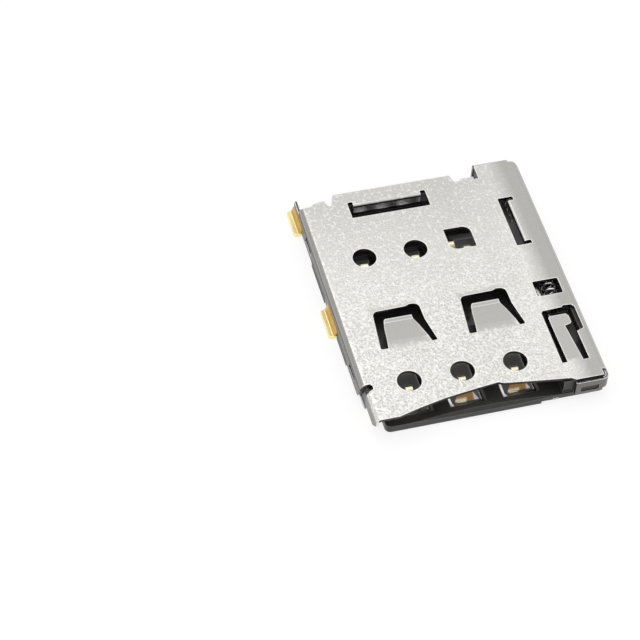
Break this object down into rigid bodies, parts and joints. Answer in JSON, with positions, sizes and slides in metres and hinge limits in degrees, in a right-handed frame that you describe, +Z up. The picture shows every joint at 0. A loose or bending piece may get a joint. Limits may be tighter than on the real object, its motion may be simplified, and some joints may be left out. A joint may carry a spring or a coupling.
{
  "type": "sim card socket",
  "caption": "Flat push-push socket for a small sim card: pierced sheet metal cover, black moulded tray, sprung contacts with solder tails, and a spring-loaded eject slider.",
  "frame": {"origin": "on the board plane, below the centre of the six card contacts", "axes": "+Z up from the board, +Y the way the card goes in, +X towards the slider's channel"},
  "size_m": [0.0121, 0.0145, 0.0014],
  "materials": {
    "shell_steel": "frosted, nickel plated",
    "plate_steel": "frosted, nickel plated",
    "housing_plastic": "moulded, slightly mottled",
    "slider_plastic": "moulded",
    "contact_bronze": "plated, gold at tips and tails",
    "pin_steel": "drawn wire",
    "spring_steel": "drawn wire"
  },
  "bodies": {
    "socket": {"housing": "housing_plastic", "shell": "shell_steel", "bottom_plate": "plate_steel", "contact_front_left": "contact_bronze", "contact_front_middle": "contact_bronze", "contact_front_right": "contact_bronze", "contact_rear_left": "contact_bronze", "contact_rear_middle": "contact_bronze", "contact_rear_right": "contact_bronze", "detect_contact": "contact_bronze", "left_lead_strip": "contact_bronze", "right_lead_strip": "contact_bronze", "eject_spring": "spring_steel"},
    "slider": {"slider": "slider_plastic"},
    "cam_pin": {"cam_pin": "pin_steel"}
  },
  "joints": [
    {"name": "slider_push", "type": "slide", "parent": "socket", "child": "slider", "axis": [0, 1, 0], "range_m": [0, 0.0036], "stiffness_N_per_m": 150, "springref_m": -0.0015, "deforming": ["eject_spring"]},
    {"name": "cam_pin_swing", "type": "hinge", "parent": "socket", "child": "cam_pin", "pos_m": [0.00535, -0.00478, 0.001], "axis": [0, 0, 1], "range_deg": [-4.4, 0]}
  ],
  "couplings": [
    {"joint": "cam_pin_swing", "follows": "slider_push", "rad_per_m": -20.847}
  ]
}
